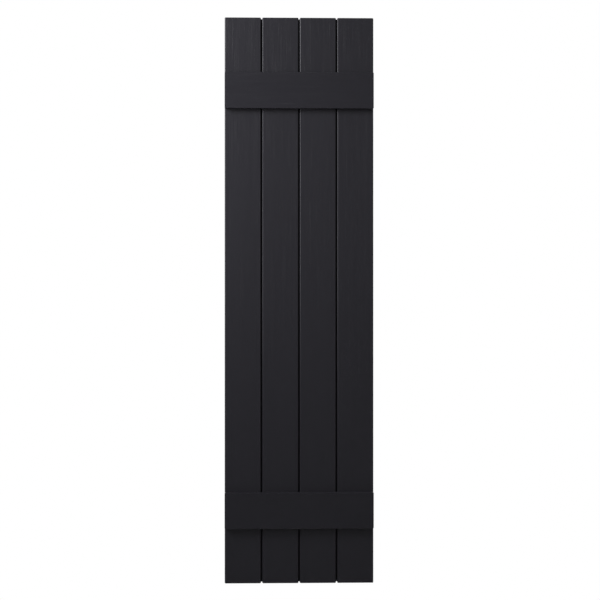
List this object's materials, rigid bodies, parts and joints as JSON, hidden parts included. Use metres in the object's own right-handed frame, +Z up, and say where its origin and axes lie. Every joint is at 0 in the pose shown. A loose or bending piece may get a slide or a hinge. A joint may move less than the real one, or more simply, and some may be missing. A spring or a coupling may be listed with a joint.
{
  "type": "board and batten shutter",
  "caption": "Tall fixed exterior window shutter of black moulded boards set side by side with narrow joints, held by horizontal battens across the front; flat back for a wall.",
  "frame": {"origin": "middle of the back, on the wall plane, at half the width and half the height", "axes": "+Z up along the boards, +X to the right seen from the front, +Y into the wall; the front faces -Y"},
  "size_m": [0.3678, 0.0315, 1.397],
  "materials": {
    "board_plastic": "black polypropylene, satin, embossed with an upright wood grain",
    "batten_plastic": "black polypropylene, satin, embossed with a level wood grain",
    "screw_steel": "zinc-plated steel, satin"
  },
  "bodies": {
    "root": {"left_board": "board_plastic", "left_middle_board": "board_plastic", "right_middle_board": "board_plastic", "right_board": "board_plastic", "upper_batten": "batten_plastic", "lower_batten": "batten_plastic"}
  },
  "joints": []
}
